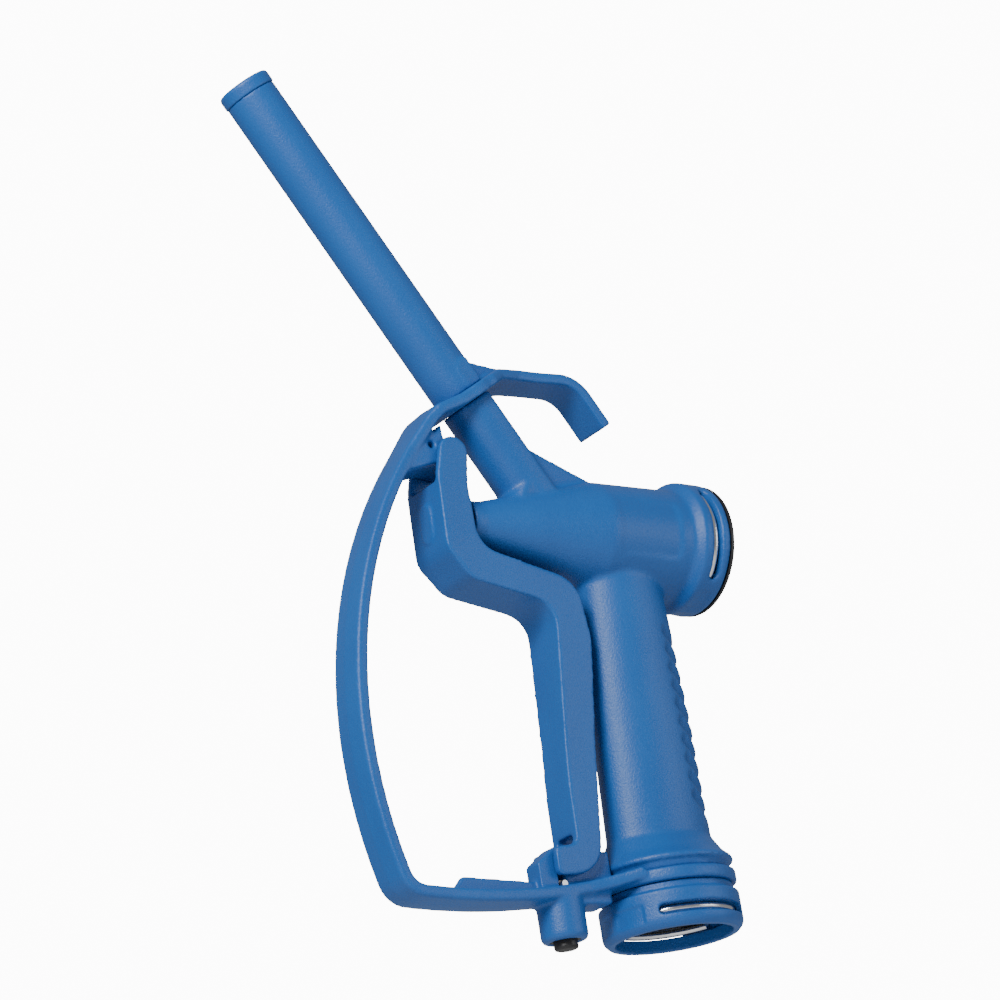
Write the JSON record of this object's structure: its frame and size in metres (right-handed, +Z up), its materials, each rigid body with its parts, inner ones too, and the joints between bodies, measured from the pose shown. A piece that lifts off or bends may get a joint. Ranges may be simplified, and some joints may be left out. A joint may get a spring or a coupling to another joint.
{
  "type": "drum pump dispensing nozzle",
  "caption": "Hand nozzle for a drum pump: pistol grip valve with a straight spout, squeeze lever, loop guard with hanging hook and a hold-open latch.",
  "frame": {"origin": "centre of the inlet mouth, where the hose coupling enters", "axes": "+Z up the grip, +X to the rear of the hand, Y across; the spout leans towards -X"},
  "size_m": [0.2282, 0.0646, 0.4173],
  "materials": {
    "blue_plastic": "satin moulded polypropylene",
    "black_plastic": "fine grain",
    "natural_plastic": "turned",
    "stainless": "bright drawn wire",
    "rubber": "smooth"
  },
  "bodies": {
    "nozzle": {"body": "blue_plastic", "guard": "blue_plastic", "inlet_coupling": "blue_plastic", "inlet_gasket": "rubber", "inlet_clip": "stainless", "spout_tube": "blue_plastic", "spout_tip": "blue_plastic", "spout_o_rings": "rubber", "valve_seat": "natural_plastic", "stem_bush": "natural_plastic", "stem_o_rings": "rubber", "gland_nut": "black_plastic", "valve_spring": "stainless", "rear_cap": "black_plastic", "cap_o_ring": "rubber", "rear_clip": "stainless", "lever_pin": "stainless", "pin_circlip": "stainless", "latch_spring": "stainless", "latch_bush": "black_plastic"},
    "valve": {"valve_stem": "stainless", "valve_disc": "natural_plastic", "disc_seal": "rubber", "disc_nut": "stainless"},
    "latch": {"latch_plunger": "natural_plastic", "latch_button": "black_plastic", "latch_cross_pin": "stainless"},
    "lever_arm": {"lever": "blue_plastic"}
  },
  "joints": [
    {"name": "lever_hinge", "type": "hinge", "parent": "nozzle", "child": "lever_arm", "pos_m": [-0.086, 0, 0.225], "axis": [0, 1, 0], "range_deg": [0, 10], "stiffness_Nm_per_rad": 2},
    {"name": "valve_slide", "type": "slide", "parent": "nozzle", "child": "valve", "axis": [0.9986, 0, -0.0523], "range_m": [-0.0051, 0]},
    {"name": "latch_slide", "type": "slide", "parent": "nozzle", "child": "latch", "axis": [0, 0, 1], "range_m": [0, 0.0045], "stiffness_N_per_m": 120, "deforming": ["latch_spring"]}
  ],
  "couplings": [
    {"joint": "valve_slide", "follows": "lever_hinge", "m_per_rad": -0.0291}
  ]
}
